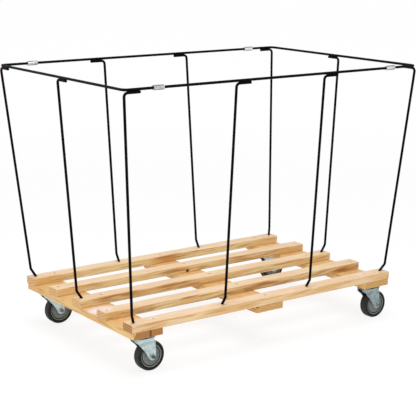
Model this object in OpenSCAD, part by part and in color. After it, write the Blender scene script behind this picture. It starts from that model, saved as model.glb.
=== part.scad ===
// Basket bulk truck: a bent-rod basket frame on a slatted hardwood deck with four swivel casters.
// X runs along the truck, Y across it from front (-Y) to back, and Z up. The origin is on the
// floor, below the middle of the truck.

/* [Basket frame] */
// Length of the rim between rod centrelines
rim_l = 1203; // [1103:1:1303]
// Width of the rim between rod centrelines
rim_w = 831; // [761:1:901]
// Height of the rim rods' centreline above the deck
rim_h = 762; // [500:1:900]
// Diameter of the frame rod
rod_d = 9; // [7:0.5:10]
// Centreline radius of the rim's corners
rim_bend_r = 16; // [14:1:26]
// Centreline radius of the bends in a post
post_bend_r = 12; // [11:1:20]
// Length of a post's foot along the underside of the rim, from the post's axis
foot_l = 58; // [45:1:70]
// Distance of a side post from the middle of its side
side_post_x = 183; // [130:1:260]
// Height of a post's lower bend above the deck
knee_h = 27.5; // [20:0.5:40]
// Lean of a post's lower end from upright
stub_lean = 34; // [20:1:38]

/* [Rim sleeves] */
// Distance of a sleeve's middle from the rim's corner
sleeve_in = 122; // [105:1:160]
// Length of a sleeve
sleeve_l = 38; // [30:1:60]
// Outer diameter of a sleeve
sleeve_d = 16; // [14:0.5:18]
// Gap left between two rod ends inside a sleeve
rod_end_gap = 2; // [0:0.5:6]

/* [Deck] */
// Length of the slats
deck_l = 1110; // [1060:2:1160]
// Width of a slat
slat_w = 56; // [50:1:80]
// Thickness of a slat
slat_t = 27.5; // [24:0.5:32]
// Thickness of a cross board
cross_t = 22; // [19:0.5:27]
// Spacing of the slats, centre to centre
slat_pitch = 168; // [150:1:185]
// Width of a cross board
cross_w = 114; // [104:1:130]
// Step from the slat ends in to the outer edge of a cross board
cross_in = 3; // [0:0.5:10]
// Radius of the eased long edges of a slat
slat_edge_r = 3; // [1:0.5:5]
// Radius of a cross board's corners, seen from above
cross_corner_r = 2; // [1:0.5:6]
// Cut across the left board's front corner, which tapers off toward the underside
corner_cut = 12; // [6:1:18]
// Distance of the end post holes from the slat ends
end_hole_in = 22; // [18:1:40]
// Distance of the deck screws in from the slat ends, where a slat also takes a post
screw_in_far = 98; // [85:1:105]
// Diameter of a deck screw
screw_d = 4.5; // [3.5:0.5:6]

/* [Casters] */
// Height of a caster from the floor to the top of its plate
caster_h = 132; // [130:0.5:143]
// Diameter of a wheel
wheel_d = 102; // [96:1:106]
// Width of a tyre
tyre_w = 31; // [26:1:33]
// Horizontal distance from kingpin to axle
trail = 34; // [28:1:40]
// Distance of the kingpins in from the slat ends
caster_in = 62; // [50:1:70]
// Distance of the kingpins in from the ends of the cross boards
caster_side_in = 54; // [52:1:90]
// Width of the top plate, along the truck
plate_l = 67; // [65:1:72]
// Length of the top plate, across the truck
plate_w = 95; // [93:1:100]
// Thickness of the top plate
plate_t = 3; // [2.5:0.5:4]
// Spacing of the plate screws along the truck
plate_screw_l = 45; // [43:0.5:47]
// Spacing of the plate screws across the truck
plate_screw_w = 76; // [74:0.5:78]
// Thickness of the pressed fork
fork_t = 3; // [2:0.5:4]
// Radius of the rear of the fork's crown, seen from above
crown_r = 47; // [44:1:50]
// Half width of the crown between its straight sides, and the radius of its front
crown_side = 33; // [32:0.5:36]
// Reach of the fork ahead of its kingpin
nose_x = 31; // [28:1:32]
// Radius of a fork leg's eye
eye_r = 13; // [12:0.5:14.5]
// Inward bend of a fork leg's front wing
wing_bend = 8; // [2:1:9]
// Radius of the arched front edge of a fork leg
arch_r = 196; // [188:0.5:202]
// Number of balls in a swivel race
ball_count = 16; // [8:1:20]

/* [Wheels] */
// Diameter of the wheel core that carries the tyre
core_d = 78; // [70:1:84]
// Length of the wheel hub
hub_w = 37; // [35:0.5:40]
// Outer diameter of the wheel hub
hub_d = 28; // [24:1:34]
// Outer diameter of the axle sleeve that the wheel turns on
axle_sleeve_d = 12.7; // [11:0.1:14]
// Diameter of the axle bolt
axle_d = 8; // [6:0.5:9]

/* [Clearances] */
// Play between a turning piece and its pin, on the radius
run_gap = 0.06; // [0.03:0.01:0.1]
// Play round a post or a screw in its hole, on the radius
hole_gap = 0.1; // [0:0.05:0.3]
// Space between moving faces that pass each other
face_gap = 0.5; // [0.3:0.1:0.8]

/* [Hidden] */
$fn = 64;
eps = 0.01;

// How far a bend is thicker than its rod, on the radius, how far a run reaches into it, and the
// arris turned off a rod's first end
bend_swell = 0.02;
bend_lap = 0.4;
rod_arris = 1;

// Heights of the deck and the rim
cross_z = caster_h;
slat_z = cross_z + cross_t;
deck_z = slat_z + slat_t;
rim_z = deck_z + rim_h;
foot_z = rim_z - rod_d - 2 * bend_swell;

// Plan positions of rim, posts and boards
rim_x = rim_l / 2;
rim_y = rim_w / 2;
end_hole_x = deck_l / 2 - end_hole_in;
side_hole_y = 2 * slat_pitch;
cross_l = 4 * slat_pitch + slat_w;
cross_x = deck_l / 2 - cross_in - cross_w / 2;
sleeve_x = rim_x - sleeve_in;
caster_x = deck_l / 2 - caster_in;
caster_y = cross_l / 2 - caster_side_in;

// Foot of a post below the deck: it stops just above the underside of its slat
stub_floor = 1;
stub_in = (slat_t - stub_floor - rod_d / 2 * sin(stub_lean)) / cos(stub_lean);
knee_out = knee_h * tan(stub_lean);

// Round tool that crimps a sleeve, and how deep it bites
crimp_r = 4;
crimp_deep = 1;

// Weld bead: radius, length, and distance of its middle from the plane of foot and rail
weld_r = 1.8;
weld_l = 16;
weld_side = 2.6;

// Countersunk deck screws
screw_head_d = 2 * screw_d;
screw_head_h = 2.5;
screw_l = slat_t + 0.6 * cross_t;
screw_outer_x = deck_l / 2 - screw_in_far;
recess_l = 4.6;
recess_w = 0.9;
recess_h = 1.6;

// Hexagon-headed plate screws
plate_screw_d = 8;
plate_screw_head = 13;
plate_screw_head_h = 5;
plate_shank_l = 0.8 * cross_t;
slot_travel = 5;

// Swivel: the plate's centre is pressed down round the kingpin's head, and balls run below it
race_drop = 4.5;
ball_gap = 5;
ball_r = 2.9;
ball_play = 0.3;
race_r = 24;
race_outer_r = 30;
king_r = 6;
king_head_r = 11.5;
king_head_h = 3.2;
king_foot_h = 5;
plate_z = caster_h - plate_t;
race_z = plate_z - race_drop;
crown_z = race_z - ball_gap;
ball_z = crown_z + ball_gap / 2;

// Fork and wheel
axle_z = wheel_d / 2;
fork_in = hub_w / 2 + face_gap;
fork_out = fork_in + fork_t;
crease_x = trail - eye_r - 2;
skirt_h = 6;
shoulder_slope = 1.5;
arch_x = -188;
arch_z = -92.5;
nut_flats = 13;
nut_h = 6.5;
washer_r = 8.5;
washer_h = 1.6;
crease_r = 0.8;
collar_h = 1.5;
head_h = 5.3;
thread_end = 2;
axle_l = 2 * fork_out + 1 + washer_h + nut_h + collar_h + thread_end;

// Half thickness of the wheel's web, radius of the raised ring on it, half width of the core's
// rim, and the tyre's shoulder and groove radii
web_y = 11;
ring_r = 0.375 * core_d;
rim_half = 0.44 * tyre_w;
shoulder_r = 6;
groove_r = 1.2;

// Unit vector along v
function unit(v) = v / norm(v);
// Turn of a path at its middle point
function turn(a, b, c) = acos(unit(b - a) * unit(c - b));
// Any unit vector square to v
function square_to(v) = unit(cross(v, abs(v.z) < 0.9 * norm(v) ? [0, 0, 1] : [1, 0, 0]));

// Places its children with their axes along x, y and z at point o
module framed(o, x, y, z) {
  multmatrix([
    [x.x, y.x, z.x, o.x],
    [x.y, y.y, z.y, o.y],
    [x.z, y.z, z.z, o.z],
    [0, 0, 0, 1]
  ]) children();
}

// Straight round bar from a to b
module bar(a, b, d) {
  z = unit(b - a);
  x = square_to(z);
  framed(a, x, cross(z, x), z) cylinder(d = d, h = norm(b - a));
}

// Way to the centre of the bend at point i of the path p, from the end of the run before it
function bend_side(p, i) = let (u = unit(p[i] - p[i - 1]), w = unit(p[i + 1] - p[i])) unit(w - u * (u * w));

// Twist about the run after point i that brings the side of one bend round to the side of the next
function roll(p, i) = i + 2 >= len(p) ? 0
  : let (u = unit(p[i] - p[i - 1]), w = unit(p[i + 1] - p[i]), side = unit(w * (u * w) - u), next = bend_side(p, i + 1))
    atan2(w * cross(side, next), side * next);

// Straight run i of a bent rod, drawn upward from the origin, then the bend toward +X at its end,
// and so on to the last run; used is the length that the bend before has taken. A bend is a hair
// thicker than the runs, as pressing flattens it, and each run ends a little way inside it.
module rod_run(p, i, used, r, d) {
  is_first = i == 0;
  is_last = i == len(p) - 2;
  angle = is_last ? 0 : turn(p[i], p[i + 1], p[i + 2]);
  taken = r * tan(angle / 2);
  l = norm(p[i + 1] - p[i]) - used - taken;
  low = is_first ? 0 : -bend_lap;
  high = is_last ? l : l + bend_lap;
  difference() {
    translate([0, 0, low]) cylinder(d = d, h = high - low);
    if (is_first) rotate_extrude() translate([d / 2 - rod_arris, 0])
      polygon([[-eps, -eps], [2 * rod_arris, -eps], [2 * rod_arris, 2 * rod_arris]]);
  }
  if (!is_last) translate([r, 0, l]) {
    rotate([90, 0, 180]) rotate_extrude(angle = angle) translate([r, 0]) circle(d = d + 2 * bend_swell);
    rotate([0, angle, 0]) translate([-r, 0, 0]) rotate([0, 0, roll(p, i + 1)]) rod_run(p, i + 1, taken, r, d);
  }
}

// Round rod bent along the points p, with centreline radius r at each corner
module bent_rod(p, r, d) {
  z = unit(p[1] - p[0]);
  x = bend_side(p, 1);
  framed(p[0], x, cross(z, x), z) rod_run(p, 0, 0, r, d);
}

// Rectangle with round corners, centred, made of true arcs
module round_rect(l, w, r) {
  square([l - 2 * r, w], center = true);
  square([l, w - 2 * r], center = true);
  for (i = [-1, 1], j = [-1, 1]) translate([i * (l / 2 - r), j * (w / 2 - r)]) circle(r = r);
}

// Hole point of a post on the deck, and the way that the post leans out from it
function hole_at(sx, sy, mid) = mid == "side" ? [sx * side_post_x, sy * side_hole_y, deck_z]
  : mid == "end" ? [sx * end_hole_x, 0, deck_z]
  : [sx * end_hole_x, sy * side_hole_y, deck_z];
function out_at(sx, sy, mid) = mid == "side" ? [0, sy, 0] : mid == "end" ? [sx, 0, 0] : unit([sx, sy, 0]);
function top_at(sx, sy, mid) = [
  mid == "side" ? sx * side_post_x : sx * rim_x,
  mid == "end" ? 0 : sy * rim_y,
  foot_z
];
function knee_at(sx, sy, mid) = hole_at(sx, sy, mid) + out_at(sx, sy, mid) * knee_out + [0, 0, knee_h];
function stub_way(sx, sy, mid) = unit(hole_at(sx, sy, mid) - knee_at(sx, sy, mid));

// Upright of the basket: foot under the rim, long leg, and a short end let into the deck.
// sx and sy pick the end and the side, mid says where it stands, foot is the way its foot runs.
module post(sx, sy, mid, foot) {
  top = top_at(sx, sy, mid);
  hole = hole_at(sx, sy, mid);
  color("#1c1c1d")
    bent_rod([top + foot * foot_l, top, knee_at(sx, sy, mid), hole + stub_way(sx, sy, mid) * stub_in],
      post_bend_r, rod_d);
}

// Drilling that takes a post's lower end
module post_hole(sx, sy, mid) {
  hole = hole_at(sx, sy, mid);
  way = stub_way(sx, sy, mid);
  bar(hole - way * rod_d, hole + way * 2 * slat_t, rod_d + 2 * hole_gap);
}

// Slat number n, from 1 at the front to 5 at the back
module slat(n) {
  y = (n - 3) * slat_pitch;
  color("#e3bd8b") difference() {
    translate([-deck_l / 2, y, slat_z + slat_t / 2]) rotate([90, 0, 90])
      linear_extrude(deck_l) round_rect(slat_w, slat_t, slat_edge_r);
    if (n == 1 || n == 5) for (sx = [-1, 1]) {
      post_hole(sx, sign(n - 3), "side");
      post_hole(sx, sign(n - 3), "corner");
    }
    if (n == 3) for (sx = [-1, 1]) post_hole(sx, 0, "end");
    for (x = screw_places(n)) translate([x, y, 0]) screw_hole();
  }
}

// Screws stand beside the post holes, and on the two inner slats in line with them
function screw_places(n) = n == 2 || n == 4 ? [-end_hole_x, 0, end_hole_x] : [-screw_outer_x, 0, screw_outer_x];

// Shape of a countersunk screw, its head level with the deck
module screw_shape(gap, l) {
  translate([0, 0, deck_z - l]) cylinder(d = screw_d + 2 * gap, h = l);
  translate([0, 0, deck_z - screw_head_h])
    cylinder(d1 = screw_d + 2 * gap, d2 = screw_head_d + 2 * gap, h = screw_head_h);
}

module screw_hole() {
  screw_shape(hole_gap, screw_l);
  translate([0, 0, deck_z - eps]) cylinder(d = screw_head_d + 2 * hole_gap, h = slat_t);
}

// Each head has a crossed recess for the driver, and no two stand turned the same way
module deck_screws() color("#9a958c")
  for (n = [1:5], x = screw_places(n)) translate([x, (n - 3) * slat_pitch, 0]) difference() {
    screw_shape(0, screw_l - 1);
    for (i = [0, 90]) rotate([0, 0, i + 23 * n + x / 9]) translate([0, 0, deck_z - recess_h / 2])
      cube([recess_l, recess_w, 2 * recess_h], center = true);
  }

// Board across the truck under the slats, side -1 at the left end, 0 in the middle, 1 at the right
module cross_board(side) color("#d9ab73") difference() {
  translate([side * cross_x, 0, cross_z]) linear_extrude(cross_t) round_rect(cross_w, cross_l, cross_corner_r);
  for (n = [1:5], x = screw_places(n)) translate([x, (n - 3) * slat_pitch, 0]) screw_hole();
  for (sy = [-1, 1]) at_caster(side, sy) plate_screw_places()
    translate([0, 0, cross_z - eps]) cylinder(d = plate_screw_d, h = plate_shank_l + eps);
  if (side == -1) translate([-cross_x - cross_w / 2, -cross_l / 2, cross_z + 1])
    rotate([0, 0, 45]) rotate([0, atan(corner_cut / sqrt(2) / cross_t), 0])
      translate([-cross_t, 0, 0]) cube([2 * cross_t, 4 * corner_cut, 4 * cross_t], center = true);
}

// Rim: a bent rail round each end and a straight rail along each side
module end_rail(side) color("#19191a")
  bent_rod([for (p = [[sleeve_x + rod_end_gap / 2, -rim_y], [rim_x, -rim_y], [rim_x, rim_y],
    [sleeve_x + rod_end_gap / 2, rim_y]]) [side * p.x, p.y, rim_z]], rim_bend_r, rod_d);

module side_rail(side) color("#19191a")
  bar([-sleeve_x + rod_end_gap / 2, side * rim_y, rim_z], [sleeve_x - rod_end_gap / 2, side * rim_y, rim_z], rod_d);

// Tube crimped over the two rod ends where rails meet
module rim_sleeves() color("#b9bbbd") for (sx = [-1, 1], sy = [-1, 1])
  translate([sx * sleeve_x, sy * rim_y, rim_z]) rotate([0, 90, 0]) difference() {
    cylinder(d = sleeve_d, h = sleeve_l, center = true);
    cylinder(d = rod_d, h = sleeve_l + 2, center = true);
    for (i = [-1, 1], turn_x = [0, 90, 180, 270])
      rotate([0, 0, turn_x]) translate([0, sleeve_d / 2 + crimp_r - crimp_deep, i * sleeve_l / 4])
        rotate([0, 90, 0]) cylinder(r = crimp_r, h = sleeve_d, center = true);
  }

// Weld beads in the two valleys between a foot and its rail
module weld_pair(sx, sy, mid, foot) {
  across = cross([0, 0, 1], foot);
  middle = top_at(sx, sy, mid) + foot * (foot_l - 0.75 * weld_l - 2) + [0, 0, (rim_z - foot_z) / 2];
  for (i = [-1, 1]) difference() {
    bar(middle + across * i * weld_side - foot * weld_l / 2, middle + across * i * weld_side + foot * weld_l / 2,
      2 * weld_r);
    for (j = [-1, 1]) bar(middle - foot * weld_l + [0, 0, j * (rim_z - foot_z) / 2],
      middle + foot * weld_l + [0, 0, j * (rim_z - foot_z) / 2], rod_d);
  }
}

// Feet run round the rim the same way: along the front to the right, then on round the ends
front_foot = [1, 0, 0];
right_foot = [0, 1, 0];
back_foot = [-1, 0, 0];
left_foot = [0, -1, 0];

module post_welds() color("#232324") {
  weld_pair(-1, -1, "corner", front_foot);
  weld_pair(-1, -1, "side", front_foot);
  weld_pair(1, -1, "side", front_foot);
  weld_pair(1, -1, "corner", right_foot);
  weld_pair(1, 0, "end", right_foot);
  weld_pair(1, 1, "corner", back_foot);
  weld_pair(1, 1, "side", back_foot);
  weld_pair(-1, 1, "side", back_foot);
  weld_pair(-1, 1, "corner", left_foot);
  weld_pair(-1, 0, "end", left_foot);
}

// Places its children at the kingpin of one caster; there is none under the middle board
module at_caster(sx, sy) if (sx != 0) translate([sx * caster_x, sy * caster_y, 0]) children();

module each_caster() for (sx = [-1, 1], sy = [-1, 1]) at_caster(sx, sy) children();

module plate_screw_places() for (i = [-1, 1], j = [-1, 1])
  translate([i * plate_screw_l / 2, j * plate_screw_w / 2, 0]) children();

// Hexagon with its corners turned off at 30 degrees on top
module hexagon(flats, h) intersection() {
  cylinder(d = flats / cos(30), h = h, $fn = 6);
  cylinder(r1 = 0.48 * flats + h / tan(30), r2 = 0.48 * flats, h = h);
}

module plate_screws() color("#a9adb1") each_caster() plate_screw_places() {
  translate([0, 0, plate_z]) mirror([0, 0, 1]) hexagon(plate_screw_head, plate_screw_head_h);
  translate([0, 0, plate_z - 1]) cylinder(d = plate_screw_d, h = plate_t + 1 + plate_shank_l - 1);
}

// Groove that the swivel balls run in
module ball_groove() translate([0, 0, ball_z]) rotate_extrude() translate([race_r, 0]) circle(r = ball_r + ball_play);

module swivel_balls() color("#c9ccd0") each_caster() for (i = [0:ball_count - 1])
  rotate([0, 0, i * 360 / ball_count]) translate([race_r, 0, ball_z]) sphere(r = ball_r);

// Top plate, pressed down in the middle so that the kingpin's head stays below its top face
module caster_plate() color("#b4babf") difference() {
  union() {
    translate([0, 0, plate_z]) linear_extrude(plate_t) round_rect(plate_l, plate_w, 9);
    translate([0, 0, race_z]) cylinder(r = race_outer_r, h = race_drop + eps);
  }
  translate([0, 0, race_z + plate_t]) cylinder(r = race_outer_r - plate_t, h = race_drop + plate_t);
  cylinder(r = king_r, h = caster_h);
  plate_screw_places() {
    for (i = [-1, 1]) translate([0, i * slot_travel / 2, 0]) cylinder(d = plate_screw_d + 1, h = caster_h);
    translate([0, 0, caster_h / 2]) cube([plate_screw_d + 1, slot_travel, caster_h], center = true);
  }
  ball_groove();
}

// Rivet that the fork turns on
module kingpin() color("#a4a8ad") {
  translate([0, 0, crown_z - fork_t - face_gap - king_foot_h]) cylinder(r = king_head_r, h = king_foot_h);
  translate([0, 0, crown_z - fork_t - face_gap - 1])
    cylinder(r = king_r, h = race_z + plate_t + 2 - (crown_z - fork_t - face_gap));
  translate([0, 0, race_z + plate_t]) cylinder(r1 = king_head_r, r2 = king_head_r - 3, h = king_head_h);
}

// Side view of the fork, x from the kingpin and y as height: a leg that narrows from the crown
// to the eye, its front edge an arc over the wheel
module fork_side() {
  difference() {
    polygon([
      [trail + eye_r, axle_z], [trail + eye_r - 1, crown_z], [-nose_x, crown_z],
      [-nose_x, crown_z - skirt_h], [trail - eye_r, axle_z - eye_r / 2], [trail, axle_z - eye_r / 2]
    ]);
    intersection() {
      translate([trail + arch_x, axle_z + arch_z]) circle(r = arch_r);
      translate([-crown_r - 2, 0]) square([2 * crown_r, crown_z - skirt_h]);
    }
  }
  translate([trail, axle_z]) circle(r = eye_r);
}

// Plan of the legs at depth t under their outer face: straight beside the eye, then a wing bent in
module leg_plan(t) {
  y = fork_out - t;
  front = -crown_r - 1;
  wing_y = y - (crease_x - front) * tan(wing_bend) - t * (1 / cos(wing_bend) - 1);
  polygon([
    [trail + eye_r + 1, y], [crease_x, y], [front, wing_y],
    [front, -wing_y], [crease_x, -y], [trail + eye_r + 1, -y]
  ]);
}

// End view of the crown and its sloping shoulders at depth t under their outer face
module shoulder_end(t) {
  y = crown_side - t;
  low = crown_z - skirt_h - crown_side * shoulder_slope + t * norm([1, shoulder_slope]);
  polygon([[y, crown_z - t], [y, low + y * shoulder_slope], [0, low], [-y, low + y * shoulder_slope],
    [-y, crown_z - t]]);
}

module shoulders(t) translate([-crown_r - 1, 0, 0]) rotate([90, 0, 90])
  linear_extrude(2 * crown_r + 2) shoulder_end(t);

module legs(t) linear_extrude(crown_z - t) leg_plan(t);

// Plan of the crown at depth t under its rim: a half round front that runs into the straight sides
module crown_plan(t) {
  circle(r = crown_side - t);
  intersection() {
    circle(r = crown_r - t);
    translate([0, -crown_r]) square(2 * crown_r);
  }
}

// Pressed steel fork: round crown, shoulders and two legs with bent wings, open to the rear
module fork() color("#aeb6bc") difference() {
  intersection() {
    union() {
      legs(0);
      intersection() {
        shoulders(0);
        linear_extrude(crown_z) crown_plan(0);
      }
    }
    rotate([90, 0, 0]) linear_extrude(2 * crown_r, center = true) fork_side();
  }
  legs(fork_t);
  intersection() {
    shoulders(fork_t);
    union() {
      linear_extrude(crown_z) crown_plan(fork_t);
      translate([0, -crown_r, 0]) cube([2 * crown_r, 2 * crown_r, crown_z]);
    }
  }
  cylinder(r = king_r + run_gap, h = caster_h);
  ball_groove();
  for (i = [-1, 1]) translate([crease_x, i * (fork_out + crease_r / 2), axle_z + eye_r])
    cylinder(r = crease_r, h = crown_z);
  translate([trail, 0, axle_z]) rotate([90, 0, 0])
    cylinder(d = axle_d + 2 * hole_gap, h = 2 * fork_out + 2, center = true);
}

// Places its children on the axle, with their Z axis pointing to the front of the truck
module on_axle() translate([trail, 0, axle_z]) rotate([90, 0, 0]) children();

module axle_bolt() color("#a9adb1") on_axle() {
  translate([0, 0, -fork_out]) mirror([0, 0, 1]) hexagon(nut_flats, head_h);
  translate([0, 0, -fork_out - 1]) cylinder(d = axle_d, h = axle_l - 0.8);
  translate([0, 0, -fork_out + axle_l - 1.8 - eps]) cylinder(d1 = axle_d, d2 = axle_d - 1.6, h = 0.8 + eps);
}

// Lock nut with its washer in one piece: the collar on top holds the nylon insert
module axle_nut() color("#bfc3c7") on_axle() translate([0, 0, fork_out]) difference() {
  union() {
    cylinder(r = washer_r, h = washer_h);
    translate([0, 0, washer_h - eps]) hexagon(nut_flats, nut_h);
    cylinder(d = nut_flats - 2, h = nut_h + washer_h + collar_h);
  }
  translate([0, 0, -1]) cylinder(d = axle_d, h = nut_h + washer_h + collar_h + 2);
}

// Steel tube clamped between the fork legs, for the wheel to turn on
module axle_sleeve() color("#8f9498") on_axle() difference() {
  cylinder(d = axle_sleeve_d, h = 2 * fork_in, center = true);
  cylinder(d = axle_d + 2 * hole_gap, h = 2 * fork_in + 2, center = true);
}

// One side of the wheel core's section from the bore out, x as radius and y along the axle
core_side = [
  [axle_sleeve_d / 2 + run_gap, hub_w / 2], [hub_d / 2 - 1, hub_w / 2], [hub_d / 2, hub_w / 2 - 1],
  [hub_d / 2 + 1.5, web_y], [ring_r, web_y], [ring_r + 0.6, web_y + 2], [ring_r + 2, web_y + 2],
  [ring_r + 2.8, web_y - 3], [core_d / 2 - 3.6, web_y - 3], [core_d / 2 - 2.6, rim_half], [core_d / 2, rim_half]
];

module wheel_core() color("#77777b") on_axle() rotate_extrude()
  polygon(concat(core_side, [for (i = [len(core_side) - 1:-1:0]) [core_side[i].x, -core_side[i].y]]));

// Tyre: rounded shoulders and a shallow groove in each side wall
module tyre() color("#3f3f3e") on_axle() difference() {
  union() {
    cylinder(d = wheel_d, h = tyre_w - 2 * shoulder_r, center = true);
    cylinder(d = wheel_d - 2 * shoulder_r, h = tyre_w, center = true);
    for (i = [-1, 1]) translate([0, 0, i * (tyre_w / 2 - shoulder_r)])
      rotate_extrude() translate([wheel_d / 2 - shoulder_r, 0]) circle(r = shoulder_r);
  }
  cylinder(d = core_d, h = tyre_w + 2, center = true);
  for (i = [-1, 1]) translate([0, 0, i * tyre_w / 2])
    rotate_extrude() translate([core_d / 2 + 2 * groove_r + 0.6, 0]) circle(r = groove_r);
}

slat(1);  // slat_front
slat(2);  // slat_front_inner
slat(3);  // slat_middle
slat(4);  // slat_back_inner
slat(5);  // slat_back
cross_board(-1);  // cross_board_left
cross_board(0);  // cross_board_middle
cross_board(1);  // cross_board_right
deck_screws();
end_rail(-1);  // end_rail_left
end_rail(1);  // end_rail_right
side_rail(-1);  // side_rail_front
side_rail(1);  // side_rail_back
rim_sleeves();
post(-1, -1, "corner", front_foot);  // post_corner_front_left
post(-1, -1, "side", front_foot);  // post_front_left
post(1, -1, "side", front_foot);  // post_front_right
post(1, -1, "corner", right_foot);  // post_corner_front_right
post(1, 0, "end", right_foot);  // post_right_end
post(1, 1, "corner", back_foot);  // post_corner_back_right
post(1, 1, "side", back_foot);  // post_back_right
post(-1, 1, "side", back_foot);  // post_back_left
post(-1, 1, "corner", left_foot);  // post_corner_back_left
post(-1, 0, "end", left_foot);  // post_left_end
post_welds();
plate_screws();
swivel_balls();
at_caster(-1, -1) caster_plate();  // caster_plate_front_left
at_caster(-1, -1) kingpin();  // kingpin_front_left
at_caster(-1, -1) fork();  // fork_front_left
at_caster(-1, -1) axle_bolt();  // axle_bolt_front_left
at_caster(-1, -1) axle_nut();  // axle_nut_front_left
at_caster(-1, -1) axle_sleeve();  // axle_sleeve_front_left
at_caster(-1, -1) wheel_core();  // wheel_core_front_left
at_caster(-1, -1) tyre();  // tyre_front_left
at_caster(1, -1) caster_plate();  // caster_plate_front_right
at_caster(1, -1) kingpin();  // kingpin_front_right
at_caster(1, -1) fork();  // fork_front_right
at_caster(1, -1) axle_bolt();  // axle_bolt_front_right
at_caster(1, -1) axle_nut();  // axle_nut_front_right
at_caster(1, -1) axle_sleeve();  // axle_sleeve_front_right
at_caster(1, -1) wheel_core();  // wheel_core_front_right
at_caster(1, -1) tyre();  // tyre_front_right
at_caster(-1, 1) caster_plate();  // caster_plate_back_left
at_caster(-1, 1) kingpin();  // kingpin_back_left
at_caster(-1, 1) fork();  // fork_back_left
at_caster(-1, 1) axle_bolt();  // axle_bolt_back_left
at_caster(-1, 1) axle_nut();  // axle_nut_back_left
at_caster(-1, 1) axle_sleeve();  // axle_sleeve_back_left
at_caster(-1, 1) wheel_core();  // wheel_core_back_left
at_caster(-1, 1) tyre();  // tyre_back_left
at_caster(1, 1) caster_plate();  // caster_plate_back_right
at_caster(1, 1) kingpin();  // kingpin_back_right
at_caster(1, 1) fork();  // fork_back_right
at_caster(1, 1) axle_bolt();  // axle_bolt_back_right
at_caster(1, 1) axle_nut();  // axle_nut_back_right
at_caster(1, 1) axle_sleeve();  // axle_sleeve_back_right
at_caster(1, 1) wheel_core();  // wheel_core_back_right
at_caster(1, 1) tyre();  // tyre_back_right
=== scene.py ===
import math

import bmesh
import bpy
from mathutils import Matrix, Vector


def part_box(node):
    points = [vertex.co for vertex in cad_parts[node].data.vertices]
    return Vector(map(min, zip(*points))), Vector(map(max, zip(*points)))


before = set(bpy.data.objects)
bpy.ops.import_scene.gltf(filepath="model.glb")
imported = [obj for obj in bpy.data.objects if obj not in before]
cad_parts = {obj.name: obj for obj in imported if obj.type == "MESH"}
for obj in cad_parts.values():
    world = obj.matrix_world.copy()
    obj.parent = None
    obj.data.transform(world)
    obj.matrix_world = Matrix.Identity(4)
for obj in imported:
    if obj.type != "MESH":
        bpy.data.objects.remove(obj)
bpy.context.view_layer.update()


# Slats: five planed hardwood boards that run the length of the truck, with eased long edges and
# a clear coat. Each is cut from its own plank, so its rings, tint and marks are its own. They lie
# on the cross boards, and the posts stand in slanted holes drilled in three of them.
def feed(tree, socket, value):
    """Links a socket to the value where that is a socket too, and otherwise sets it."""
    if isinstance(value, bpy.types.NodeSocket):
        tree.links.new(value, socket)
    else:
        socket.default_value = value


def place_node(tree, kind, sockets=None, **settings):
    """A shader node with its settings, and a value or a link on each socket named."""
    made = tree.nodes.new(kind)
    for name, value in settings.items():
        setattr(made, name, value)
    for name, value in (sockets or {}).items():
        feed(tree, made.inputs[name], value)
    return made


def sums(tree, operation, *values):
    """The result of a math node."""
    return place_node(tree, "ShaderNodeMath", dict(enumerate(values)), operation=operation).outputs[0]


def times(tree, one, other):
    """The product of two values."""
    return sums(tree, "MULTIPLY", one, other)


def plus(tree, one, other):
    """The sum of two values."""
    return sums(tree, "ADD", one, other)


def vector_sums(tree, operation, *values):
    """The result of a vector math node, which is a plain value for a length or a dot product."""
    made = place_node(tree, "ShaderNodeVectorMath", dict(enumerate(values)), operation=operation)
    return made.outputs["Value" if operation in ("LENGTH", "DOT_PRODUCT") else "Vector"]


def along(tree, vector, axis):
    """A vector's value along one axis."""
    return place_node(tree, "ShaderNodeSeparateXYZ", {0: vector}).outputs[axis]


def mapped(tree, place, **change):
    """A place moved, turned or stretched by the Location, Rotation or Scale given."""
    return place_node(tree, "ShaderNodeMapping", {"Vector": place, **change}).outputs[0]


def noise(tree, place, scale, detail):
    """A cloudy value between 0 and 1."""
    made = place_node(tree, "ShaderNodeTexNoise", {"Vector": place, "Scale": scale, "Detail": detail})
    return made.outputs["Fac"]


def rise(tree, value, low, high):
    """A mask that climbs smoothly from 0 at low to 1 at high, or falls where low is the higher."""
    made = place_node(
        tree,
        "ShaderNodeMapRange",
        {"Value": value, "From Min": min(low, high), "From Max": max(low, high)},
        interpolation_type="SMOOTHSTEP",
    )
    if low < high:
        return made.outputs["Result"]
    return sums(tree, "SUBTRACT", 1.0, made.outputs["Result"])


def cover(tree, mask, under, over, strength=1.0):
    """Colour under, covered by colour over as far as the mask says, times the strength."""
    if strength != 1.0:
        mask = times(tree, mask, strength)
    factor, first_colour, second_colour, mixed_colour = 0, 6, 7, 2
    made = place_node(
        tree, "ShaderNodeMix", {factor: mask, first_colour: under, second_colour: over}, data_type="RGBA"
    )
    return made.outputs[mixed_colour]


def seen_colour(red, green, blue):
    """A colour as a screen shows it, 0 to 255, in the linear values that a shader takes."""
    linear = []
    for level in (red / 255, green / 255, blue / 255):
        linear.append(level / 12.92 if level <= 0.04045 else ((level + 0.055) / 1.055) ** 2.4)
    return (*linear, 1.0)


def new_finish(name):
    """An empty material, its node tree, its shader, and the object's own coordinates."""
    finish = bpy.data.materials.new(name)
    finish.use_nodes = True
    tree = finish.node_tree
    return finish, tree, tree.nodes["Principled BSDF"], place_node(tree, "ShaderNodeTexCoord")


def relief(tree, shader, height, strength, distance):
    """Gives a shader a relief: the height times the distance in metres, as far as the strength says."""
    bump = place_node(tree, "ShaderNodeBump", {"Strength": strength, "Distance": distance, "Height": height})
    feed(tree, shader.inputs["Normal"], bump.outputs[0])


def dress(finish, *nodes):
    """Gives CAD nodes a finish."""
    for name in nodes:
        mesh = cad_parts[name].data
        mesh.materials.clear()
        mesh.materials.append(finish)


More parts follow.
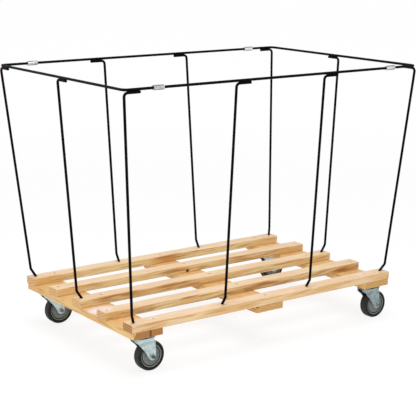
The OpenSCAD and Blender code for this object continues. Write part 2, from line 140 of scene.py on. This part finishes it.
def effect_group(name, inputs, outputs):
    """An empty node group with its sockets, and its input and output nodes."""
    group = bpy.data.node_groups.new(name, "ShaderNodeTree")
    for label, kind in inputs:
        group.interface.new_socket(label, in_out="INPUT", socket_type="NodeSocket" + kind)
    for label, kind in outputs:
        group.interface.new_socket(label, in_out="OUTPUT", socket_type="NodeSocket" + kind)
    return group, group.nodes.new("NodeGroupInput"), group.nodes.new("NodeGroupOutput")


# Grain of a plank whose length lies along X of the vector it is given, in metres
plank_grain, given, put = effect_group(
    "plank_grain",
    [("Vector", "Vector"), ("Ring Scale", "Float")],
    [("Rings", "Float"), ("Fibre", "Float"), ("Streak", "Float"), ("Drift", "Float"), ("Pores", "Float")],
)
wander = mapped(plank_grain, given.outputs["Vector"], Scale=(0.9, 6.0, 6.0))
sway = place_node(plank_grain, "ShaderNodeTexNoise", {"Vector": wander, "Scale": 2.2, "Detail": 2.0})
sway_width = (0.0, 0.035, 0.035)
swayed = vector_sums(plank_grain, "MULTIPLY", sway.outputs["Color"], sway_width)
bent = vector_sums(plank_grain, "ADD", given.outputs["Vector"], swayed)
ring_wave = place_node(
    plank_grain,
    "ShaderNodeTexWave",
    {"Vector": bent, "Scale": given.outputs["Ring Scale"], "Distortion": 1.2, "Detail": 2.0,
     "Detail Scale": 3.0},
    wave_type="RINGS",
    rings_direction="X",
    wave_profile="SAW",
)
feed(plank_grain, put.inputs["Rings"], ring_wave.outputs["Fac"])
for label, stretch, detail in (
    ("Fibre", (9.0, 420.0, 420.0), 3.0),
    ("Streak", (8.0, 120.0, 120.0), 4.0),
    ("Drift", (5.0, 26.0, 26.0), 3.0),
    ("Pores", (60.0, 1500.0, 1500.0), 1.0),
):
    drawn = mapped(plank_grain, bent, Scale=stretch)
    feed(plank_grain, put.inputs[label], noise(plank_grain, drawn, scale=1.0, detail=detail))

# Mask of what lies within the width given of an edge, where wear shows first
edge_mask, given, put = effect_group("edge_mask", [("Width", "Float")], [("Edge", "Float")])
rounded = place_node(edge_mask, "ShaderNodeBevel", {"Radius": given.outputs["Width"]}, samples=4)
surface = place_node(edge_mask, "ShaderNodeNewGeometry")
agree = vector_sums(edge_mask, "DOT_PRODUCT", rounded.outputs[0], surface.outputs["Normal"])
feed(edge_mask, put.inputs["Edge"], rise(edge_mask, agree, 0.995, 0.86))


def edge_of(tree, width):
    """The mask of a finish's edges."""
    made = place_node(tree, "ShaderNodeGroup", {"Width": width}, node_tree=edge_mask)
    return made.outputs["Edge"]


def spot(tree, where, centre, half_size):
    """A soft oval mask round a point of the object."""
    off = vector_sums(tree, "SUBTRACT", where.outputs["Object"], centre)
    scaled = vector_sums(tree, "MULTIPLY", off, tuple(1 / s for s in half_size))
    return rise(tree, vector_sums(tree, "LENGTH", scaled), 1.0, 0.35)


# A ring about every 9 mm, grain that leans out of the board by less than 2 degrees, and edges
# that are worn about 2 mm wide
ring_scale = 34.0
grain_lean = 0.03
plank_wear = 0.0022
rubbed_tone = seen_colour(230, 222, 228)


def dress_board(board, length_axis, shift, tones, figures=(), knots=(), scuffs=()):
    """Gives a board clear-coated hardwood of its own, with the grain along length_axis. shift picks
    its place in the tree, and tones are the colours of its early wood (pale), late wood (honey),
    streaks (brown), top and ends. The top tone is painted light on what faces up; the end tone is
    the end grain's own darker colour, and painted shade as well where it is much darker. figures
    are stretches with dark figure, knots are pin knots or shakes in a tone of their own, and
    scuffs are places rubbed pale, with a strength. Each mark has its centre and its half size in
    metres."""
    finish, tree, shader, where = new_finish(board + "_wood")
    turn = 0.0 if length_axis == "X" else math.pi / 2
    laid = mapped(tree, where.outputs["Object"], Location=shift, Rotation=(0.0, grain_lean, turn))
    grain = place_node(
        tree, "ShaderNodeGroup", {"Vector": laid, "Ring Scale": ring_scale}, node_tree=plank_grain
    ).outputs
    end = rise(tree, sums(tree, "ABSOLUTE", along(tree, where.outputs["Normal"], length_axis)), 0.6, 0.9)
    top = rise(tree, along(tree, where.outputs["Normal"], "Z"), 0.5, 0.95)
    colour = cover(tree, grain["Rings"], tones["pale"], tones["honey"], strength=0.55)
    colour = cover(tree, rise(tree, grain["Drift"], 0.42, 0.62), colour, tones["honey"], strength=0.75)
    on_side = sums(tree, "SUBTRACT", 1.0, times(tree, top, 0.6))
    streaks = times(tree, rise(tree, grain["Streak"], 0.5, 0.68), on_side)
    colour = cover(tree, streaks, colour, tones["brown"], strength=0.7)
    # Painted light on what faces up: the top tone is a painted sheen on the slats' tops, and a darker tone
    # on the cross boards' tops.
    colour = cover(tree, top, colour, tones["top"], strength=0.5)
    colour = cover(tree, rise(tree, grain["Pores"], 0.62, 0.75), colour, tones["brown"], strength=0.25)
    end_rings = rise(tree, grain["Rings"], 0.25, 0.8)
    end_colour = cover(tree, end_rings, tones["end"], tones["brown"], strength=0.45)
    # End faces take the end tone: the end grain's own darker colour, and on slat_front and cross_board_left
    # painted shade as well.
    colour = cover(tree, end, colour, end_colour, strength=0.92)
    for centre, half_size in figures:
        dark = times(tree, spot(tree, where, centre, half_size), rise(tree, grain["Streak"], 0.3, 0.62))
        colour = cover(tree, dark, colour, tones["brown"], strength=0.85)
    for centre, half_size, tone in knots:
        colour = cover(tree, spot(tree, where, centre, half_size), colour, tone)
    for centre, half_size, strength in scuffs:
        rubbed = times(tree, spot(tree, where, centre, half_size), rise(tree, grain["Drift"], 0.75, 0.5))
        colour = cover(tree, rubbed, colour, rubbed_tone, strength=strength)
    colour = cover(tree, edge_of(tree, plank_wear), colour, tones["pale"], strength=0.35)
    feed(tree, shader.inputs["Base Color"], colour)
    planed = plus(tree, 0.36, times(tree, grain["Fibre"], 0.2))
    feed(tree, shader.inputs["Roughness"], plus(tree, planed, times(tree, end, 0.25)))
    shader.inputs["Specular IOR Level"].default_value = 0.3
    shader.inputs["Coat Weight"].default_value = 0.1
    shader.inputs["Coat Roughness"].default_value = 0.28
    height = plus(tree, times(tree, grain["Fibre"], 0.6), times(tree, grain["Rings"], 0.4))
    relief(tree, shader, height, strength=0.35, distance=0.0004)
    dress(finish, board)


slat_tones = {
    "pale": seen_colour(233, 207, 157),
    "honey": seen_colour(214, 168, 103),
    "brown": seen_colour(174, 115, 55),
    # top: a pale, pinkish painted sheen on the slats' tops
    "top": seen_colour(215, 187, 163),
    "end": seen_colour(222, 180, 124),
}
slat_front_tones = {
    **slat_tones,
    "pale": seen_colour(238, 212, 172),
    "brown": seen_colour(194, 136, 80),
    # end: a much darker end tone, painted shade on the slat's shaded end
    "end": seen_colour(160, 116, 60),
}
dark_knot = seen_colour(50, 12, 6)
dress_board(
    "slat_front", "X", (0.0, 0.43, 0.06), slat_front_tones,
    figures=[((-0.5, -0.364, 0.168), (0.1, 0.01, 0.02))],
    scuffs=[
        ((-0.457, -0.33, 0.1815), (0.026, 0.009, 0.004), 0.4),
        ((0.45, -0.335, 0.1815), (0.05, 0.02, 0.004), 0.35),
    ],
)
dress_board(
    "slat_front_inner", "X", (1.7, 0.28, 0.09), {**slat_tones, "brown": seen_colour(158, 98, 42)},
    figures=[
        ((0.1, -0.196, 0.162), (0.24, 0.02, 0.014)),
        ((0.44, -0.196, 0.166), (0.2, 0.02, 0.016)),
    ],
    scuffs=[((-0.529, -0.162, 0.1815), (0.03, 0.02, 0.004), 0.6)],
)
dress_board(
    "slat_middle", "X", (3.1, 0.09, -0.05), {**slat_tones, "end": seen_colour(226, 184, 126)},
    figures=[
        ((-0.4, -0.028, 0.17), (0.16, 0.02, 0.02)),
        ((-0.16, -0.028, 0.17), (0.12, 0.02, 0.02)),
    ],
)
dress_board(
    "slat_back_inner", "X", (4.6, -0.1, 0.11), slat_tones,
    figures=[
        ((-0.06, 0.14, 0.168), (0.09, 0.02, 0.02)),
        ((0.3, 0.14, 0.168), (0.2, 0.02, 0.02)),
    ],
    knots=[((-0.003, 0.14, 0.161), (0.011, 0.014, 0.008), dark_knot)],
)
dress_board(
    "slat_back", "X", (6.2, -0.31, 0.02), slat_tones,
    figures=[((0.05, 0.308, 0.168), (0.12, 0.02, 0.02))],
)


# Cross boards: three wide boards of the same wood under the slats, one at each end and one in the
# middle. Their corners are rounded, and the casters are screwed up into the two at the ends.
cross_tones = {
    "pale": seen_colour(236, 199, 135),
    "honey": seen_colour(219, 170, 101),
    "brown": seen_colour(176, 112, 52),
    "top": seen_colour(194, 152, 100),
    "end": seen_colour(206, 162, 100),
}
brown_knot = seen_colour(134, 86, 42)
brown_shake = seen_colour(104, 60, 26)
# The left cross board's darker end tone is painted shade on its end that faces the front.
dress_board(
    "cross_board_left", "Y", (0.3, 0.5, 0.0), {**cross_tones, "end": seen_colour(160, 106, 50)},
    knots=[((-0.4856, -0.364, 0.143), (0.005, 0.01, 0.04), brown_shake)],
    scuffs=[((-0.495, -0.085, 0.154), (0.08, 0.055, 0.004), 1.0)],
)
dress_board(
    "cross_board_middle", "Y", (2.2, 0.06, 0.04), cross_tones,
    knots=[((-0.054, -0.364, 0.152), (0.007, 0.012, 0.006), brown_knot)],
)
dress_board(
    "cross_board_right", "Y", (4.1, -0.5, 0.03), cross_tones,
    knots=[((0.433, -0.364, 0.15), (0.005, 0.008, 0.004), brown_knot)],
)


# Deck screws: countersunk steel screws, one at each crossing, driven level with the slats' tops.
# The zinc on their heads is dull.
zinc_bloom, given, put = effect_group(
    "zinc_bloom",
    [("Vector", "Vector"), ("Grain", "Float")],
    [("Cloud", "Float"), ("Spangle", "Float"), ("Scratch", "Float")],
)
spangle = place_node(
    zinc_bloom, "ShaderNodeTexVoronoi", {"Vector": given.outputs["Vector"], "Scale": given.outputs["Grain"]}
)
drawn = mapped(zinc_bloom, given.outputs["Vector"], Scale=(900.0, 900.0, 40.0), Rotation=(0.1, 0.2, 0.3))
cloud = noise(zinc_bloom, given.outputs["Vector"], scale=48.0, detail=6.0)
scratch = noise(zinc_bloom, drawn, scale=1.0, detail=2.0)
feed(zinc_bloom, put.inputs["Cloud"], cloud)
feed(zinc_bloom, put.inputs["Spangle"], spangle.outputs["Distance"])
feed(zinc_bloom, put.inputs["Scratch"], scratch)

# Mask of the places that lie close in front of something else, which are darkened there as painted shade
hollow_shade_mask, given, put = effect_group("hollow_shade_mask", [("Reach", "Float")], [("Hollow", "Float")])
occluded = place_node(
    hollow_shade_mask, "ShaderNodeAmbientOcclusion", {"Distance": given.outputs["Reach"]}, samples=8
)
feed(hollow_shade_mask, put.inputs["Hollow"], rise(hollow_shade_mask, occluded.outputs["AO"], 0.85, 0.35))
hollow_shade_reach = 0.03


def hollow_shade_of(tree):
    """The mask of a finish's shut-in places, where shade is painted."""
    made = place_node(tree, "ShaderNodeGroup", {"Reach": hollow_shade_reach}, node_tree=hollow_shade_mask)
    return made.outputs["Hollow"]


worn_zinc = seen_colour(236, 240, 242)
washer_zinc = seen_colour(234, 238, 242)
# the near-black of the painted shade in shut-in places
hollow_shade_tone = seen_colour(34, 36, 35)


def plated_finish(name, bright, dull, rough, metal, grain=900.0, wear=0.001, hollow_shade=0.0, washer=None,
                  steep_tone=None):
    """Zinc-plated steel: cloudy from bright to dull, brighter on worn edges, and darkened with painted
    shade where it is shut in. grain is how many spangles it has to the metre, and wear how wide its
    worn edges are. washer is where along Y a duller nut ends and its bright washer begins, and
    steep_tone is the colour of the painted shade along a tube's top and bottom lines."""
    finish, tree, shader, where = new_finish(name)
    bloom = place_node(
        tree, "ShaderNodeGroup", {"Vector": where.outputs["Object"], "Grain": grain}, node_tree=zinc_bloom
    ).outputs
    colour = cover(tree, rise(tree, bloom["Cloud"], 0.35, 0.7), bright, dull)
    colour = cover(tree, edge_of(tree, wear), colour, worn_zinc, strength=0.5)
    # Painted shade: what faces up or down turns to the steep tone, the darker lines along a tube's top and
    # bottom.
    if steep_tone:
        steep = rise(tree, sums(tree, "ABSOLUTE", along(tree, where.outputs["Normal"], "Z")), 0.5, 0.85)
        colour = cover(tree, steep, colour, steep_tone)
    if washer:
        seam_starts = washer - 0.0003
        seam_ends = washer + 0.0001
        on_washer = rise(tree, along(tree, where.outputs["Object"], "Y"), seam_starts, seam_ends)
        colour = cover(tree, on_washer, colour, washer_zinc)
    # Painted shade: shut-in places are darkened towards near black and made less metallic.
    if hollow_shade:
        shaded_hollow = times(tree, hollow_shade_of(tree), hollow_shade)
        colour = cover(tree, shaded_hollow, colour, hollow_shade_tone)
        feed(tree, shader.inputs["Metallic"], times(tree, sums(tree, "SUBTRACT", 1.0, shaded_hollow), metal))
    else:
        shader.inputs["Metallic"].default_value = metal
    feed(tree, shader.inputs["Base Color"], colour)
    vary = plus(tree, times(tree, bloom["Scratch"], 0.18), times(tree, bloom["Cloud"], 0.12))
    mean_of_vary = 0.15
    feed(tree, shader.inputs["Roughness"], plus(tree, rough - mean_of_vary, vary))
    relief(tree, shader, bloom["Spangle"], strength=0.2, distance=0.0002)
    return finish


deck_screw_zinc = plated_finish(
    "dull_screw_zinc", seen_colour(164, 154, 138), seen_colour(124, 112, 96),
    rough=0.5, metal=0.6, wear=0.0004,
)
dress(deck_screw_zinc, "deck_screws")


# Rim and posts: steel rod, bent cold, welded and then enamelled black. Two rails go round the
# ends, two straight ones join them, and each of the ten posts is one rod from its foot under the
# rim to its hole in the deck. The beads lie in the valleys between feet and rim.
def enamel_finish():
    """Black enamel: a faint orange peel, and a little dust that greys what faces up."""
    finish, tree, shader, where = new_finish("black_enamel")
    peel = noise(tree, where.outputs["Object"], scale=420.0, detail=2.0)
    dust = noise(tree, where.outputs["Object"], scale=26.0, detail=4.0)
    facing_up = rise(tree, along(tree, where.outputs["Normal"], "Z"), 0.1, 0.9)
    dusty = times(tree, facing_up, rise(tree, dust, 0.4, 0.75))
    colour = cover(tree, dusty, seen_colour(4, 4, 5), seen_colour(24, 24, 26), strength=0.3)
    feed(tree, shader.inputs["Base Color"], colour)
    feed(tree, shader.inputs["Roughness"], plus(tree, 0.34, times(tree, dust, 0.16)))
    shader.inputs["Specular IOR Level"].default_value = 0.05
    relief(tree, shader, peel, strength=0.12, distance=0.0001)
    return finish


rails = ("end_rail_left", "end_rail_right", "side_rail_front", "side_rail_back")
posts = (
    "post_corner_front_left", "post_front_left", "post_front_right", "post_corner_front_right",
    "post_right_end", "post_corner_back_right", "post_back_right", "post_back_left",
    "post_corner_back_left", "post_left_end",
)
dress(enamel_finish(), *rails, *posts, "post_welds")


# Rim sleeves: bright zinc tubes crimped over the joints of the rim after it was enamelled. Their
# top and bottom lines are painted darker, as painted shade.
sleeve_zinc = plated_finish(
    "bright_sleeve_zinc", seen_colour(228, 231, 231), seen_colour(170, 172, 171),
    rough=0.34, metal=0.85, grain=700.0, steep_tone=seen_colour(84, 86, 88),
)
dress(sleeve_zinc, "rim_sleeves")


# Casters: plate, fork and fasteners are pressed and turned steel, zinc plated with a bluish
# passivation. The balls of the swivel race run in grease. The plate is screwed to its board, and
# the fork turns on the kingpin.
corners = ("front_left", "front_right", "back_left", "back_right")
washer_thickness = 0.0016
# Painted shade darkens the kingpins and axle sleeves where they are shut in.
fastener_zinc = plated_finish(
    "fastener_zinc", seen_colour(196, 206, 208), seen_colour(140, 150, 154),
    rough=0.34, metal=0.85, wear=0.0006, hollow_shade=0.6,
)
greased_steel = plated_finish(
    "greased_ball_steel", seen_colour(110, 106, 98), seen_colour(60, 56, 50), rough=0.3, metal=0.9
)
# The axle bolts' darker zinc is painted shade round the nut.
shaded_bolt = plated_finish(
    "shaded_bolt_zinc", seen_colour(96, 104, 106), seen_colour(56, 62, 64),
    rough=0.4, metal=0.8, wear=0.0006,
)
# The plate screws' darker zinc and strong hollow darkening are painted shade under the board.
plate_screw_zinc = plated_finish(
    "plate_screw_zinc", seen_colour(116, 124, 126), seen_colour(78, 84, 86),
    rough=0.4, metal=0.8, wear=0.0006, hollow_shade=0.9,
)
dress(plate_screw_zinc, "plate_screws")
dress(greased_steel, "swivel_balls")
for corner in corners:
    # The front right caster gets a darker copy of the same zinc: painted shade, as it stands in more shade.
    if corner == "front_right":
        bright = seen_colour(160, 174, 176)
        dull = seen_colour(126, 140, 142)
    else:
        bright = seen_colour(206, 224, 224)
        dull = seen_colour(172, 189, 190)
    # Painted shade darkens the inside of each fork, under the plate and round the wheel.
    caster_zinc = plated_finish(
        "blue_caster_zinc_" + corner, bright, dull, rough=0.4, metal=0.75, grain=600.0, hollow_shade=0.95
    )
    dress(caster_zinc, "caster_plate_" + corner, "fork_" + corner)
    dress(fastener_zinc, "kingpin_" + corner, "axle_sleeve_" + corner)
    dress(shaded_bolt, "axle_bolt_" + corner)
    nut_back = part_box("axle_nut_" + corner)[1].y
    # The nut's zinc is darker than the other fasteners': painted shade on its flats.
    nut_zinc = plated_finish(
        "nut_zinc_" + corner, seen_colour(148, 158, 160), seen_colour(100, 108, 110),
        rough=0.36, metal=0.8, wear=0.0004, washer=nut_back - washer_thickness,
    )
    dress(nut_zinc, "axle_nut_" + corner)


# Wheels: a grey moulded core with raised rings and a solid black rubber tyre on it. Both are
# marked in circles by the mould and by turning on the floor, so their patterns are centred on
# each axle.
def from_axle(tree, where, axle):
    """A point of a wheel as its place from the axle's middle, and its distance from the axle."""
    centred = mapped(tree, where.outputs["Object"], Location=-axle)
    across = along(tree, centred, "X")
    up = along(tree, centred, "Z")
    radius = sums(tree, "SQRT", plus(tree, times(tree, across, across), times(tree, up, up)))
    return centred, radius


# Distances from the axle, and from the wheel's middle plane for the ridges, in metres; the
# circles of the mould in radians per metre
valley_starts = (0.0312, 0.0324)
valley_ends = (0.0368, 0.0354)
ridge_height = (0.0118, 0.0129)
tread_shoulder = (0.047, 0.0508)
core_circles = 2400.0
tyre_circles = 1900.0


def core_finish(name, axle):
    """Grey moulded plastic with faint circles, painted shade in the valley between its rings, and painted
    highlights on the ridges.
    """
    finish, tree, shader, where = new_finish(name)
    place, radius = from_axle(tree, where, axle)
    mottle = noise(tree, place, scale=90.0, detail=3.0)
    cloud = rise(tree, mottle, 0.35, 0.65)
    colour = cover(tree, cloud, seen_colour(124, 131, 128), seen_colour(100, 106, 104))
    # Painted shade in the valley between the raised ring and the rim.
    valley_shade = times(tree, rise(tree, radius, *valley_starts), rise(tree, radius, *valley_ends))
    colour = cover(tree, valley_shade, colour, seen_colour(40, 42, 41), strength=0.85)
    # Painted highlight on the ridges' outer faces.
    ridge_highlight = rise(tree, sums(tree, "ABSOLUTE", along(tree, place, "Y")), *ridge_height)
    colour = cover(tree, ridge_highlight, colour, seen_colour(172, 178, 175), strength=0.5)
    feed(tree, shader.inputs["Base Color"], colour)
    feed(tree, shader.inputs["Roughness"], plus(tree, 0.42, times(tree, mottle, 0.2)))
    circles = sums(tree, "SINE", times(tree, radius, core_circles))
    relief(tree, shader, circles, strength=0.12, distance=0.0003)
    return finish


def tyre_finish(name, axle):
    """Black rubber with the mould's circles, greyed by dust on the tread, and darkest in its hollows with
    painted shade.
    """
    finish, tree, shader, where = new_finish(name)
    place, radius = from_axle(tree, where, axle)
    mottle = noise(tree, place, scale=60.0, detail=5.0)
    grit = noise(tree, place, scale=900.0, detail=2.0)
    colour = cover(tree, rise(tree, mottle, 0.35, 0.7), seen_colour(28, 29, 26), seen_colour(42, 43, 38))
    dusty = times(tree, rise(tree, radius, *tread_shoulder), rise(tree, grit, 0.4, 0.65))
    colour = cover(tree, dusty, colour, seen_colour(60, 61, 54), strength=0.5)
    # Painted shade in the tyre's hollows, between tyre and fork.
    colour = cover(tree, hollow_shade_of(tree), colour, seen_colour(10, 10, 9), strength=0.8)
    feed(tree, shader.inputs["Base Color"], colour)
    shader.inputs["Specular IOR Level"].default_value = 0.22
    feed(tree, shader.inputs["Roughness"], plus(tree, 0.46, times(tree, mottle, 0.25)))
    circles = sums(tree, "SINE", times(tree, radius, tyre_circles))
    height = plus(tree, times(tree, circles, 0.2), grit)
    relief(tree, shader, height, strength=0.3, distance=0.0003)
    return finish


for corner in corners:
    low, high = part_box("tyre_" + corner)
    axle = (low + high) / 2
    dress(core_finish("core_grey_" + corner, axle), "wheel_core_" + corner)
    dress(tyre_finish("tyre_rubber_" + corner, axle), "tyre_" + corner)


# Floor, light and camera: a pale floor that takes the truck's shadow, soft studio light from
# above and a little from the front left, and the camera where the photograph was taken from.
def new_object(name, content):
    """An object in the scene with a mesh, a lamp or a camera as its content."""
    made = bpy.data.objects.new(name, content)
    bpy.context.scene.collection.objects.link(made)
    return made


def seen_straight(tree):
    """The mask of what is seen straight, in a mirror or through glass, and doesn't just give light."""
    rays = place_node(tree, "ShaderNodeLightPath").outputs
    straight = sums(tree, "MAXIMUM", rays["Is Camera Ray"], rays["Is Glossy Ray"])
    return sums(tree, "MAXIMUM", straight, rays["Is Transmission Ray"])


floor_half_size = 60.0
unlit_floor = (0.15, 0.15, 0.15, 1.0)
near_glow = 0.845
far_glow = 0.9
far_starts = 1.0
far_ends = 6.0
white = (1.0, 1.0, 1.0, 1.0)


def pale_floor():
    """Seen straight, a floor with a glow that leaves just the shadows; to all other light, a pale one."""
    finish, tree, shader, where = new_finish("pale_floor")
    shader.inputs["Roughness"].default_value = 1.0
    shader.inputs["Specular IOR Level"].default_value = 0.0
    straight = seen_straight(tree)
    mottle = noise(tree, where.outputs["Object"], scale=3.0, detail=2.0)
    pale = cover(tree, mottle, seen_colour(250, 250, 250), seen_colour(244, 244, 244))
    feed(tree, shader.inputs["Base Color"], cover(tree, straight, pale, unlit_floor))
    far = rise(tree, vector_sums(tree, "LENGTH", where.outputs["Object"]), far_starts, far_ends)
    strength = times(tree, straight, plus(tree, near_glow, times(tree, far, far_glow - near_glow)))
    glow = place_node(tree, "ShaderNodeEmission", {"Color": white, "Strength": strength})
    both = place_node(tree, "ShaderNodeAddShader", {0: shader.outputs[0], 1: glow.outputs[0]})
    feed(tree, tree.nodes["Material Output"].inputs["Surface"], both.outputs[0])
    return finish


sheet = bmesh.new()
bmesh.ops.create_grid(sheet, x_segments=1, y_segments=1, size=floor_half_size)
floor_mesh = bpy.data.meshes.new("floor")
sheet.to_mesh(floor_mesh)
sheet.free()
floor = new_object("floor", floor_mesh)
floor.data.materials.append(pale_floor())

room_light = 0.62
world = bpy.data.worlds.new("studio")
bpy.context.scene.world = world
world.use_nodes = True
sky = world.node_tree.nodes["Background"]
sky.inputs["Color"].default_value = white
sky_light = sums(world.node_tree, "MAXIMUM", seen_straight(world.node_tree), room_light)
feed(world.node_tree, sky.inputs["Strength"], sky_light)


def soft_lamp(name, place, aim, size, power):
    """A round area lamp, with its width in metres and its power in watts."""
    lamp = bpy.data.lights.new(name, "AREA")
    lamp.shape = "DISK"
    lamp.size = size
    lamp.energy = power
    made = new_object(name, lamp)
    made.location = place
    made.rotation_euler = (Vector(aim) - Vector(place)).to_track_quat("-Z", "Y").to_euler()


soft_lamp("overhead_softbox", place=(-0.4, -0.6, 3.6), aim=(0, 0, 0.2), size=2.6, power=74)
soft_lamp("front_left_softbox", place=(-2.6, -2.2, 2.4), aim=(0, 0, 0.3), size=1.8, power=31)

eye = (-2.5353, -3.6292, 1.4261)
view_turn = math.radians(36.724)
view_rise = math.radians(12.939)
view_roll = 0.00513
back = Vector((
    -math.sin(view_turn) * math.cos(view_rise),
    -math.cos(view_turn) * math.cos(view_rise),
    math.sin(view_rise),
))
level_right = Vector((math.cos(view_turn), -math.sin(view_turn), 0))
level_up = back.cross(level_right)
right = level_right * math.cos(view_roll) + level_up * math.sin(view_roll)
up = level_up * math.cos(view_roll) - level_right * math.sin(view_roll)
lens = bpy.data.cameras.new("camera")
lens.sensor_width = 36.0
lens.lens = 108.36
lens.shift_x = -0.0948
lens.shift_y = 0.01205
camera = new_object("camera", lens)
camera.matrix_world = Matrix.Translation(eye) @ Matrix((right, up, back)).transposed().to_4x4()
bpy.context.scene.camera = camera
bpy.context.scene.view_settings.view_transform = "Standard"
